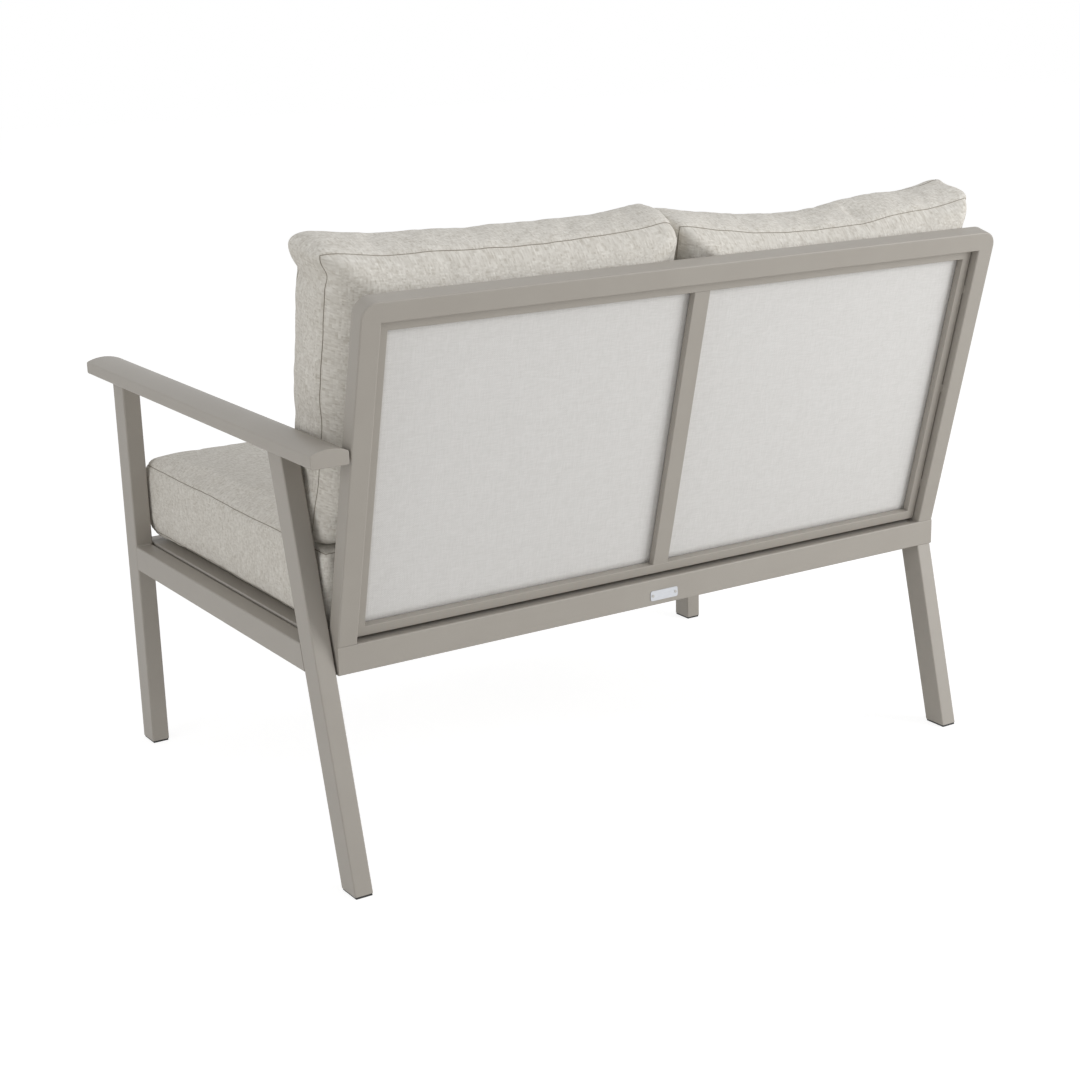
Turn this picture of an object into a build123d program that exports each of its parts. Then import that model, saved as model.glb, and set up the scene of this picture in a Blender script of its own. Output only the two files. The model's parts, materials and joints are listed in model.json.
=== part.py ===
from build123d import *
import os
from math import cos, radians, sin, tan

# Modular sofa section with one arm: welded and bolted aluminium frame, slung mesh back and seat,
# loose seat and back cushions. +X is the arm's side, -Y is the front, +Z is up, lengths are in mm.
# The origin is at the middle of the footprint, on the floor.

# Overall sizes
overall_width = 1230.0
overall_depth = 907.0
back_frame_height = 885.5
back_lean = 14.5

# Leg tube, shared by the four legs
leg_width = 30.0
leg_depth = 44.0
tube_wall = 2.0
tube_edge_radius = 2.5
rear_foot_setback = 100.5
rear_leg_lean = 14.3
open_leg_inset = 1.0

# Arm rest extrusion
arm_width = 60.0
arm_side_height = 20.0
arm_crown = 6.5
arm_underside_height = 655.5
arm_front_overhang = 33.0
arm_rear_setback = 56.0
arm_wall = 2.5
arm_edge_radius = 4.0
arm_plate_thickness = 3.0
arm_end_edge_radius = 1.2

# Side rail of the arm panel
side_rail_height = 42.0
side_rail_bottom = 320.0

# Seat frame
seat_rail_height = 44.0
seat_rail_width = 30.0
panel_joint_gap = 3.0
cross_member_height = 30.0
cross_member_width = 30.0
ledge_leg = 15.0
ledge_thickness = 2.5
ledge_length = 60.0

# Back frame, a three-sided frame of mitred tube
back_tube_face = 32.0
back_tube_depth = 30.0
back_corner_radius = 26.0

# Sling panels: grooved members around stretched mesh
member_face = 16.0
member_depth = 16.0
mullion_face = 29.0
panel_gap = 2.0
member_edge_radius = 1.0
groove_width = 2.0
groove_depth = 7.0
groove_setback = 2.0
sling_thickness = 1.0
sling_tuck = 5.0
tab_length = 14.0
tab_inset = 70.0

# Glides
glide_height = 4.0
glide_inset = 1.5
glide_plug_height = 16.0
glide_plug_clearance = 0.2
glide_edge_radius = 1.0

# Bolts that hold the arm panel to the seat frame
bolt_radius = 4.0
bolt_hole_clearance = 0.2
bolt_head_radius = 6.5
bolt_head_height = 8.0
bolt_socket_across = 6.0
bolt_socket_depth = 4.5
bolt_end_margin = 60.0
bolt_count = 4
insert_wall = 1.5
insert_length = 14.0
insert_flange_radius = 7.5
insert_flange_thickness = 0.8
insert_clearance = 0.05
spacer_washer_radius = 11.0

# Name plate, blank
plate_width = 53.5
plate_height = 16.5
plate_thickness = 1.0
plate_corner_radius = 3.5
plate_drop = 27.5
rivet_radius = 1.5
rivet_head_radius = 2.4
rivet_head_height = 0.7
rivet_inset = 4.5

# Cushions
cushion_gap = 1.6
cushion_side_clearance = 1.0
rest_clearance = 0.3
cover_thickness = 3.0
core_clearance = 0.3
seam_corner_radius = 30.0
side_draw = 8.0
boxing_bulge = 3.0
crown_step_count = 4

seat_cushion_front_setback = 12.0
seat_cushion_rear_clearance = 3.0
seat_boxing = 109.0
seat_top_crown = 28.0
seat_top_crown_run = 150.0
seat_bottom_crown = 16.0
seat_bottom_crown_run = 55.0

# The back cushions lie as in the photo: the arm's one is squeezed and its arm end slid forward,
# and both sink a little into the slope behind the seat's crown. Pairs start with the arm's one.
back_cushion_open_setback = 6.0
back_cushion_gap_shift = 16.0
back_cushion_top_rise = 46.0
back_cushion_open_sink = 9.0
back_cushion_arm_slide = 38.0
back_top_draws = (15.0, 27.0)
back_cushion_seat_sinks = (3.3, 5.8)
back_boxing = 80.0
back_rear_crown = 46.0
back_rear_crown_run = 62.0
back_front_crown = 52.0
back_front_flat_height = 174.0

# Places that follow from the sizes
arm_outer_x = overall_width / 2
arm_panel_outer_x = arm_outer_x - (arm_width - leg_width)
arm_panel_inner_x = arm_panel_outer_x - leg_width
seat_arm_x = arm_panel_inner_x - panel_joint_gap
seat_open_x = -overall_width / 2
seat_middle_x = (seat_arm_x + seat_open_x) / 2
seat_frame_width = seat_arm_x - seat_open_x
rail_top = side_rail_bottom + seat_rail_height
lean = radians(back_lean)
back_top_y = overall_depth / 2
back_foot_y = back_top_y - (back_frame_height - rail_top) * tan(lean)
back_slope_height = (back_frame_height - rail_top) / cos(lean)
rear_rail_depth = back_tube_depth / cos(lean)
rear_rail_front_y = back_foot_y - rear_rail_depth
front_y = -overall_depth / 2 + arm_front_overhang
arm_front_y = -overall_depth / 2
arm_rear_y = overall_depth / 2 - arm_rear_setback
leg_slope = tan(radians(rear_leg_lean))
rear_leg_depth = leg_depth / cos(radians(rear_leg_lean))
rear_foot_y = overall_depth / 2 - rear_foot_setback
back_half_width = seat_frame_width / 2
open_leg_x = seat_open_x + open_leg_inset

back_plane = Plane(
    origin=(seat_middle_x, back_foot_y, rail_top),
    x_dir=(1, 0, 0),
    z_dir=(0, -cos(lean), sin(lean)),
)
seat_panel_plane = Plane(
    origin=(seat_middle_x, rear_rail_front_y, rail_top - member_depth),
    x_dir=(-1, 0, 0),
    z_dir=(0, 0, 1),
)


def box_between(low, high):
    """Box from its lowest corner to its highest corner."""
    size = [h - l for l, h in zip(low, high)]
    middle = [(h + l) / 2 for l, h in zip(low, high)]
    return Pos(*middle) * Box(*size)


def rounded_tube(low, high, axis, wall, radius):
    """Hollow rectangular tube between two corners, its long edges rounded and its ends open."""
    outer = box_between(low, high)
    outer = fillet(outer.edges().filter_by(axis), radius)
    inner_low = [v + wall for v in low]
    inner_high = [v - wall for v in high]
    along = {Axis.X: 0, Axis.Y: 1, Axis.Z: 2}[axis]
    inner_low[along] = low[along]
    inner_high[along] = high[along]
    return outer - box_between(inner_low, inner_high)


def leaning_bar(x_low, x_high, y_foot, depth, slope, z_low, z_high):
    """Bar whose side outline is a parallelogram; y_foot is its front edge at floor level."""
    y_low = y_foot - slope * z_low
    y_high = y_foot - slope * z_high
    outline = Polyline(
        (x_low, y_low, z_low),
        (x_low, y_low + depth, z_low),
        (x_low, y_high + depth, z_high),
        (x_low, y_high, z_high),
        close=True,
    )
    return extrude(make_face(outline), amount=x_high - x_low, dir=(1, 0, 0))


def leg(x_low, y_foot, depth, slope, top):
    """Leg tube from the glide up to its top, cut level at both ends."""
    outer = leaning_bar(x_low, x_low + leg_width, y_foot, depth, slope, glide_height, top)
    lean_axis = Axis((0, 0, 0), (0, -slope, 1))
    outer = fillet(outer.edges().filter_by(lean_axis), tube_edge_radius)
    wall_along = tube_wall * depth / leg_depth
    inner = leaning_bar(
        x_low + tube_wall,
        x_low + leg_width - tube_wall,
        y_foot + wall_along,
        depth - 2 * wall_along,
        slope,
        glide_height,
        top,
    )
    return outer - inner


def glide(x_low, y_foot, depth, slope):
    """Floor glide: a foot pad under the tube's end and a plug inside it."""
    pad = leaning_bar(
        x_low + glide_inset,
        x_low + leg_width - glide_inset,
        y_foot + glide_inset,
        depth - 2 * glide_inset,
        slope,
        0,
        glide_height,
    )
    pad = fillet(pad.faces().sort_by(Axis.Z)[0].edges(), glide_edge_radius)
    side = tube_wall + glide_plug_clearance
    side_along = side * depth / leg_depth
    plug = leaning_bar(
        x_low + side,
        x_low + leg_width - side,
        y_foot + side_along,
        depth - 2 * side_along,
        slope,
        glide_height,
        glide_height + glide_plug_height,
    )
    return pad + plug


def arm_profile(shrink):
    """Crowned outline of the arm rest in the XZ plane, shrunk all round by a wall."""
    low_x = arm_outer_x - arm_width + shrink
    high_x = arm_outer_x - shrink
    low_z = arm_underside_height + shrink
    side_z = arm_underside_height + arm_side_height - shrink
    crown_z = side_z + arm_crown
    middle_x = (low_x + high_x) / 2
    y = arm_front_y
    sides = Polyline((high_x, y, side_z), (high_x, y, low_z), (low_x, y, low_z), (low_x, y, side_z))
    crown = ThreePointArc((low_x, y, side_z), (middle_x, y, crown_z), (high_x, y, side_z))
    profile = make_face([sides, crown])
    return fillet(profile.vertices(), arm_edge_radius - shrink)


def arm_rest():
    """Hollow arm extrusion between its two end plates."""
    start = Pos(0, arm_plate_thickness, 0)
    length = arm_rear_y - arm_front_y - 2 * arm_plate_thickness
    outer = extrude(start * arm_profile(0), amount=length, dir=(0, 1, 0))
    inner = extrude(start * arm_profile(arm_wall), amount=length, dir=(0, 1, 0))
    return outer - inner


def arm_end_plate(at_rear):
    """Crowned plate welded over one end of the arm, its outer rim eased."""
    plate = extrude(arm_profile(0), amount=arm_plate_thickness, dir=(0, 1, 0))
    length = arm_rear_y - arm_front_y - arm_plate_thickness
    if at_rear:
        plate = Pos(0, length, 0) * plate
    rim = plate.faces().sort_by(Axis.Y)[-1 if at_rear else 0]
    return fillet(rim.edges(), arm_end_edge_radius)


def bolt_places():
    """Y places of the bolts along the side rail."""
    first = front_y + leg_depth + bolt_end_margin
    rail_end_y = rear_foot_y - leg_slope * (side_rail_bottom + side_rail_height)
    last = rail_end_y - bolt_end_margin
    step = (last - first) / (bolt_count - 1)
    return [first + step * i for i in range(bolt_count)]


def bolt_cylinder(radius, x_low, x_high, y):
    """Cylinder along X on the side rail's middle line."""
    z = side_rail_bottom + side_rail_height / 2
    turned = Rot(0, 90, 0) * Cylinder(radius, x_high - x_low)
    return Pos((x_low + x_high) / 2, y, z) * turned


def side_rail():
    """Rail of the arm panel, from the front leg to the leaning rear leg, with its insert holes."""
    top = side_rail_bottom + side_rail_height
    low = (arm_panel_inner_x, front_y + leg_depth, side_rail_bottom)
    high = (arm_panel_outer_x, rear_foot_y, top)
    rail = rounded_tube(low, high, Axis.Y, tube_wall, tube_edge_radius)
    cut_high = rail_top + seat_rail_height
    cut = leaning_bar(
        arm_panel_inner_x, arm_panel_outer_x, rear_foot_y, overall_depth, leg_slope, 0, cut_high
    )
    rail = rail - cut
    hole = bolt_radius + insert_wall + insert_clearance
    for y in bolt_places():
        rail = rail - bolt_cylinder(hole, arm_panel_inner_x, arm_panel_inner_x + tube_wall, y)
    return rail


def threaded_inserts():
    """Rivet nuts in the inner wall of the side rail."""
    bore = bolt_radius + insert_clearance
    sleeve = bolt_radius + insert_wall
    back_of_wall = arm_panel_inner_x + tube_wall
    group = []
    for y in bolt_places():
        nut = bolt_cylinder(sleeve, arm_panel_inner_x, arm_panel_inner_x + insert_length, y)
        flange_high = back_of_wall + insert_flange_thickness
        nut = nut + bolt_cylinder(insert_flange_radius, back_of_wall, flange_high, y)
        nut = nut - bolt_cylinder(bore, arm_panel_inner_x, arm_panel_inner_x + insert_length, y)
        group.append(nut)
    return Compound(group)


def joint_washers():
    """Spacer washers between the arm panel and the seat frame."""
    bore = bolt_radius + bolt_hole_clearance
    group = []
    for y in bolt_places():
        washer = bolt_cylinder(spacer_washer_radius, seat_arm_x, arm_panel_inner_x, y)
        washer = washer - bolt_cylinder(bore, seat_arm_x, arm_panel_inner_x, y)
        group.append(washer)
    return Compound(group)


def joint_bolts():
    """Socket bolts from inside the seat frame into the arm panel."""
    head_high = seat_arm_x - seat_rail_width
    head_low = head_high - bolt_head_height
    group = []
    for y in bolt_places():
        bolt = bolt_cylinder(bolt_head_radius, head_low, head_high, y)
        bolt = bolt + bolt_cylinder(bolt_radius, head_high, arm_panel_inner_x + insert_length, y)
        hexagon = RegularPolygon(bolt_socket_across / 2, 6, major_radius=False)
        socket = extrude(hexagon, amount=bolt_socket_depth)
        z = side_rail_bottom + side_rail_height / 2
        bolt = bolt - Pos(head_low, y, z) * Rot(0, 90, 0) * socket
        group.append(bolt)
    return Compound(group)


def seat_arm_rail():
    """Seat frame rail beside the arm panel, drilled through for the bolts."""
    low = (seat_arm_x - seat_rail_width, front_y + seat_rail_width, side_rail_bottom)
    high = (seat_arm_x, rear_rail_front_y, rail_top)
    rail = rounded_tube(low, high, Axis.Y, tube_wall, tube_edge_radius)
    for y in bolt_places():
        hole = bolt_radius + bolt_hole_clearance
        rail = rail - bolt_cylinder(hole, seat_arm_x - seat_rail_width, seat_arm_x, y)
    return rail


def seat_open_rail():
    """Seat frame rail at the open side, over the two legs."""
    low = (seat_open_x, front_y + seat_rail_width, side_rail_bottom)
    high = (seat_open_x + seat_rail_width, rear_rail_front_y, rail_top)
    return rounded_tube(low, high, Axis.Y, tube_wall, tube_edge_radius)


def capped_rail(low, high):
    """Long tube along X with a plate let into each of its ends."""
    rail = rounded_tube(low, high, Axis.X, tube_wall, tube_edge_radius)
    for x in (low[0], high[0] - tube_wall):
        plate_low = (x, low[1] + tube_wall, low[2] + tube_wall)
        plate_high = (x + tube_wall, high[1] - tube_wall, high[2] - tube_wall)
        rail = rail + box_between(plate_low, plate_high)
    return rail


def seat_front_rail():
    """Front rail of the seat frame."""
    low = (seat_open_x, front_y, side_rail_bottom)
    high = (seat_arm_x, front_y + seat_rail_width, rail_top)
    return capped_rail(low, high)


def seat_rear_rail():
    """Rear rail of the seat frame, which carries the back frame and the name plate."""
    low = (seat_open_x, rear_rail_front_y, side_rail_bottom)
    high = (seat_arm_x, back_foot_y, rail_top)
    rail = capped_rail(low, high)
    for x in rivet_places():
        rail = rail - rivet_cylinder(rivet_radius, x, back_foot_y - tube_wall, back_foot_y)
    return rail


def seat_cross_member():
    """Tube under the middle of the seat, from the front rail to the rear rail."""
    top = rail_top - member_depth
    low = (seat_middle_x - cross_member_width / 2, front_y + seat_rail_width, top - cross_member_height)
    high = (seat_middle_x + cross_member_width / 2, rear_rail_front_y, top)
    return rounded_tube(low, high, Axis.Y, tube_wall, tube_edge_radius)


def seat_ledges():
    """Angle ledges inside the side rails, between the bolts, which carry the seat panel."""
    top = rail_top - member_depth
    bolts = bolt_places()
    ledge_places = ((bolts[0] + bolts[1]) / 2, (bolts[-2] + bolts[-1]) / 2)
    group = []
    for x_wall, towards in ((seat_arm_x - seat_rail_width, -1), (seat_open_x + seat_rail_width, 1)):
        for y in ledge_places:
            near = x_wall + towards * ledge_leg
            shelf_x = sorted((x_wall, near))
            web_x = sorted((x_wall, x_wall + towards * ledge_thickness))
            y_low = y - ledge_length / 2
            y_high = y + ledge_length / 2
            shelf = box_between((shelf_x[0], y_low, top - ledge_thickness), (shelf_x[1], y_high, top))
            web = box_between((web_x[0], y_low, top - ledge_leg), (web_x[1], y_high, top))
            group.append(shelf + web)
    return Compound(group)



def back_frame_parts():
    """Two stiles and a top rail, mitred, hollow, with rounded top corners, stood on the rear rail."""
    below = back_tube_depth
    whole = three_sided_frame(0, below)
    hollow = three_sided_frame(tube_wall, below)
    ring = eased_rims(extrude(whole, amount=back_tube_depth), tube_edge_radius)
    void_depth = back_tube_depth - 2 * tube_wall
    void = Pos(0, 0, tube_wall) * extrude(hollow, amount=void_depth)
    frame = ring - void
    mitre = Polyline(
        (-back_half_width, back_slope_height),
        (back_half_width, back_slope_height),
        (back_half_width - back_tube_face, back_slope_height - back_tube_face),
        (-back_half_width + back_tube_face, back_slope_height - back_tube_face),
        close=True,
    )
    wedge = extrude(make_face(mitre), amount=back_tube_depth)
    top = back_plane * (frame & wedge)
    sides = back_plane * (frame - wedge)
    floor_low = (seat_open_x - arm_width, rear_rail_front_y - overall_depth, 0)
    floor_high = (arm_outer_x, back_top_y + overall_depth, rail_top)
    sides = sides - box_between(floor_low, floor_high)
    open_stile, arm_stile = sides.solids().sort_by(Axis.X)
    return open_stile, arm_stile, top


def eased_rims(solid, radius):
    """Plate-like solid in the XY plane with the edges of its top and bottom faces rounded."""
    faces = solid.faces().filter_by(Axis.Z).sort_by(Axis.Z)
    return fillet(faces[0].edges() + faces[-1].edges(), radius)


def three_sided_frame(shrink, below):
    """Flat outline of the back frame, open at the bottom, inset by shrink from both outlines."""
    width = 2 * (back_half_width - shrink)
    height = back_slope_height + below - shrink
    outer = Pos(0, height / 2 - below) * Rectangle(width, height)
    top_corners = outer.vertices().sort_by(Axis.Y)[-2:]
    outer = fillet(top_corners, back_corner_radius - shrink)
    inner_width = 2 * (back_half_width - back_tube_face + shrink)
    inner_height = back_slope_height + below - back_tube_face + shrink
    inner = Pos(0, inner_height / 2 - below) * Rectangle(inner_width, inner_height)
    return outer - inner


def sling_panel(half_width, low, high):
    """Members and slings of a two-bay sling panel lying in its own XY plane, mesh near its top."""
    outer = box_between((-half_width, low, 0), (half_width, high, member_depth))
    inner_x = half_width - member_face
    inner_low = low + member_face
    inner_high = high - member_face
    ring = outer - box_between((-inner_x, inner_low, 0), (inner_x, inner_high, member_depth))
    ring = eased_rims(ring, member_edge_radius)
    groove_top = member_depth - groove_setback
    groove_bottom = groove_top - groove_width
    groove_x = inner_x + groove_depth
    groove = box_between(
        (-groove_x, inner_low - groove_depth, groove_bottom),
        (groove_x, inner_high + groove_depth, groove_top),
    )
    ring = ring - groove
    middle = (low + high) / 2
    corner = (high - low) / 2
    ends = []
    for sign in (1, -1):
        end = Polyline(
            (-half_width, middle + sign * corner),
            (half_width, middle + sign * corner),
            (inner_x, middle + sign * (corner - member_face)),
            (-inner_x, middle + sign * (corner - member_face)),
            close=True,
        )
        ends.append(extrude(make_face(end), amount=member_depth))
    top = ring & ends[0]
    bottom = ring & ends[1]
    sides = (ring - ends[0]) - ends[1]
    left, right = sides.solids().sort_by(Axis.X)
    mullion_low = (-mullion_face / 2, inner_low, 0)
    mullion_high = (mullion_face / 2, inner_high, member_depth)
    mullion = box_between(mullion_low, mullion_high)
    mullion = fillet(mullion.edges().filter_by(Axis.Y), member_edge_radius)
    for sign in (1, -1):
        wall = sorted((sign * mullion_face / 2, sign * (mullion_face / 2 - groove_depth)))
        mullion = mullion - box_between(
            (wall[0], inner_low, groove_bottom), (wall[1], inner_high, groove_top)
        )
    sheets = []
    sheet_low = groove_bottom + (groove_width - sling_thickness) / 2
    for sign in (-1, 1):
        across = sorted((sign * (mullion_face / 2 - sling_tuck), sign * (inner_x + sling_tuck)))
        sheets.append(
            box_between(
                (across[0], inner_low - sling_tuck, sheet_low),
                (across[1], inner_high + sling_tuck, sheet_low + sling_thickness),
            )
        )
    return {
        "side_a": left,
        "side_b": right,
        "top": top,
        "bottom": bottom,
        "mullion": mullion,
        "sheet_a": sheets[0],
        "sheet_b": sheets[1],
    }


def back_panel_limits():
    """Half width and lowest and highest slope place of the back's sling panel."""
    half = back_half_width - back_tube_face - panel_gap
    high = back_slope_height - back_tube_face - panel_gap
    return half, panel_gap, high


def back_panel():
    """Sling panel of the back, its front face level with the back frame's front face."""
    half, low, high = back_panel_limits()
    lift = back_tube_depth - member_depth
    placed = {}
    for name, solid in sling_panel(half, low, high).items():
        placed[name] = back_plane * Pos(0, 0, lift) * solid
    return placed


def seat_panel():
    """Sling panel of the seat, let into the seat frame, its local Y running forwards."""
    half = seat_frame_width / 2 - seat_rail_width - panel_gap
    depth = rear_rail_front_y - front_y - seat_rail_width
    placed = {}
    for name, solid in sling_panel(half, panel_gap, depth - panel_gap).items():
        placed[name] = seat_panel_plane * solid
    return placed


def back_panel_tabs():
    """Weld tabs in the gap between the back frame's stiles and the sling panel."""
    half, low, high = back_panel_limits()
    frame_x = half + panel_gap
    tabs = []
    for sign in (1, -1):
        for s in (low + tab_inset, (low + high) / 2, high - tab_inset):
            across = sorted((sign * half, sign * frame_x))
            tab_low = (across[0], s - tab_length / 2, back_tube_depth - member_depth)
            tab_high = (across[1], s + tab_length / 2, back_tube_depth - groove_setback)
            tabs.append(back_plane * box_between(tab_low, tab_high))
    return Compound(tabs)


def rivet_places():
    """X places of the two rivets of the name plate."""
    half = plate_width / 2 - rivet_inset
    return (seat_middle_x - half, seat_middle_x + half)


def rivet_cylinder(radius, x, y_low, y_high):
    """Cylinder along Y at the name plate's height."""
    turned = Rot(90, 0, 0) * Cylinder(radius, y_high - y_low)
    return Pos(x, (y_low + y_high) / 2, rail_top - plate_drop) * turned


def name_plate():
    """Blank plate on the rear rail, with rounded corners and two rivet holes."""
    outline = RectangleRounded(plate_width, plate_height, plate_corner_radius)
    plate = Rot(90, 0, 0) * extrude(outline, amount=plate_thickness)
    plate = Pos(seat_middle_x, back_foot_y + plate_thickness, rail_top - plate_drop) * plate
    for x in rivet_places():
        plate = plate - rivet_cylinder(rivet_radius, x, back_foot_y, back_foot_y + plate_thickness)
    return plate


def plate_rivets():
    """Two rivets: a low head on the plate and a shank through the rail's wall."""
    face = back_foot_y + plate_thickness
    group = []
    for x in rivet_places():
        head = rivet_cylinder(rivet_head_radius, x, face, face + rivet_head_height)
        shank = rivet_cylinder(rivet_radius, x, back_foot_y - tube_wall, face)
        group.append(head + shank)
    return Compound(group)


def cushion_outline(half_x, low_y, high_y, radius, draws, z, slide):
    """Outline of a cushion at one level: rounded corners, and sides drawn in between them.

    The slide is how far the outline moves in Y and Z for each unit of X.
    """
    x_draw, low_draw, high_draw = draws
    diagonal = radius * (1 - cos(radians(45)))
    x_flat = half_x - radius
    middle_y = (low_y + high_y) / 2

    def at(x, y):
        return (x, y + slide[0] * x, z + slide[1] * x)

    edges = []
    for sy, end_y, draw in ((-1, low_y, low_draw), (1, high_y, high_draw)):
        flat_y = end_y - sy * radius
        for sx in (1, -1):
            start = at(sx * half_x, flat_y)
            middle = at(sx * (half_x - diagonal), end_y - sy * diagonal)
            edges.append(ThreePointArc(start, middle, at(sx * x_flat, end_y)))
        if draw == 0:
            edges.append(Line(at(x_flat, end_y), at(-x_flat, end_y)))
        else:
            middle = at(0, end_y - sy * draw)
            edges.append(ThreePointArc(at(x_flat, end_y), middle, at(-x_flat, end_y)))
    for sx in (1, -1):
        start = at(sx * half_x, low_y + radius)
        middle = at(sx * (half_x - x_draw), middle_y)
        edges.append(ThreePointArc(start, middle, at(sx * half_x, high_y - radius)))
    return make_face(Wire(edges))


def cushion_body(width, ends, slope, draws, levels, shrink, slide=(0, 0)):
    """Boxed cushion lofted through its levels, which are (height, inset) pairs, bottom to top.

    Its low end, in Y, moves by the slope for each unit of height, so that it can rest on the level
    while the cushion leans.
    """
    full = levels[-1][0]
    faces = []
    for height, inset in levels:
        z = shrink + height * (full - 2 * shrink) / full
        half_x = width / 2 - inset - shrink
        low_y = ends[0] - slope * z + inset + shrink
        high_y = ends[1] - inset - shrink
        radius = seam_corner_radius - shrink
        faces.append(cushion_outline(half_x, low_y, high_y, radius, draws, z, slide))
    return loft(faces, ruled=True)


def cushion_levels(low_crown, low_run, boxing, high_crown, high_run):
    """Heights and insets of a cushion: rounded low side, bulged boxing, domed high side."""
    steps = [90 * i / crown_step_count for i in range(crown_step_count + 1)]
    levels = []
    for angle in reversed(steps):
        inset = boxing_bulge + low_run * (1 - cos(radians(angle)))
        levels.append((low_crown * (1 - sin(radians(angle))), inset))
    levels.append((low_crown + boxing / 2, 0))
    for angle in steps:
        inset = boxing_bulge + high_run * (1 - cos(radians(angle)))
        levels.append((low_crown + boxing + high_crown * sin(radians(angle)), inset))
    return levels


def cushion_cover_and_core(make, shrink_core):
    """Cover as a closed shell and the foam core inside it, from one shape at three sizes."""
    cover = make(0) - make(cover_thickness)
    core = make(shrink_core)
    return cover, core


def seat_cushion(number):
    """Cover and core of one seat cushion, on the seat frame's rails, counted from the arm."""
    rear = rear_rail_front_y - seat_cushion_rear_clearance
    front = front_y + seat_cushion_front_setback
    levels = cushion_levels(
        seat_bottom_crown, seat_bottom_crown_run, seat_boxing, seat_top_crown, seat_top_crown_run
    )
    draws = (side_draw, side_draw, side_draw)
    width = (seat_frame_width - 2 * cushion_side_clearance - cushion_gap) / 2
    x = seat_arm_x - cushion_side_clearance - width / 2 - number * (width + cushion_gap)
    place = Pos(x, 0, rail_top + rest_clearance)

    def make(shrink):
        return place * cushion_body(width, (front, rear), 0, draws, levels, shrink)

    return cushion_cover_and_core(make, cover_thickness + core_clearance)


def back_cushion(number):
    """Cover and core of one back cushion, leaned on the back frame with its low end on the seat."""
    pair_width = seat_frame_width - cushion_side_clearance - back_cushion_open_setback
    arm_side_width = (pair_width - cushion_gap) / 2 - back_cushion_gap_shift
    widths = (arm_side_width, pair_width - cushion_gap - arm_side_width)
    width = widths[number]
    arm_end = back_half_width - cushion_side_clearance - number * (widths[0] + cushion_gap)
    seat_crown = rest_clearance + seat_bottom_crown + seat_boxing + seat_top_crown
    stand_off = back_tube_depth + rest_clearance
    low = (seat_crown + rest_clearance - stand_off * sin(lean)) / cos(lean)
    low = low - back_cushion_seat_sinks[number]
    high = back_slope_height + back_cushion_top_rise - number * back_cushion_open_sink
    thickness = back_rear_crown + back_boxing + back_front_crown
    front_height = high - low + tan(lean) * thickness - 2 * boxing_bulge
    front_run = (front_height - back_front_flat_height) / 2
    levels = cushion_levels(
        back_rear_crown, back_rear_crown_run, back_boxing, back_front_crown, front_run
    )
    draws = (side_draw, 0, back_top_draws[number])
    forward = (1 - number) * back_cushion_arm_slide
    slide = (-forward / width * sin(lean), forward / width * cos(lean))
    middle_slide = [v * width / 2 for v in slide]
    place = back_plane * Pos(arm_end - width / 2, middle_slide[0], stand_off + middle_slide[1])

    def make(shrink):
        return place * cushion_body(width, (low, high), tan(lean), draws, levels, shrink, slide)

    return cushion_cover_and_core(make, cover_thickness + core_clearance)


def write(name, shape):
    """Write one node to its file."""
    export_step(shape, f"parts/{name}.step")
    print(name, len(shape.solids()), round(shape.volume))


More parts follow.
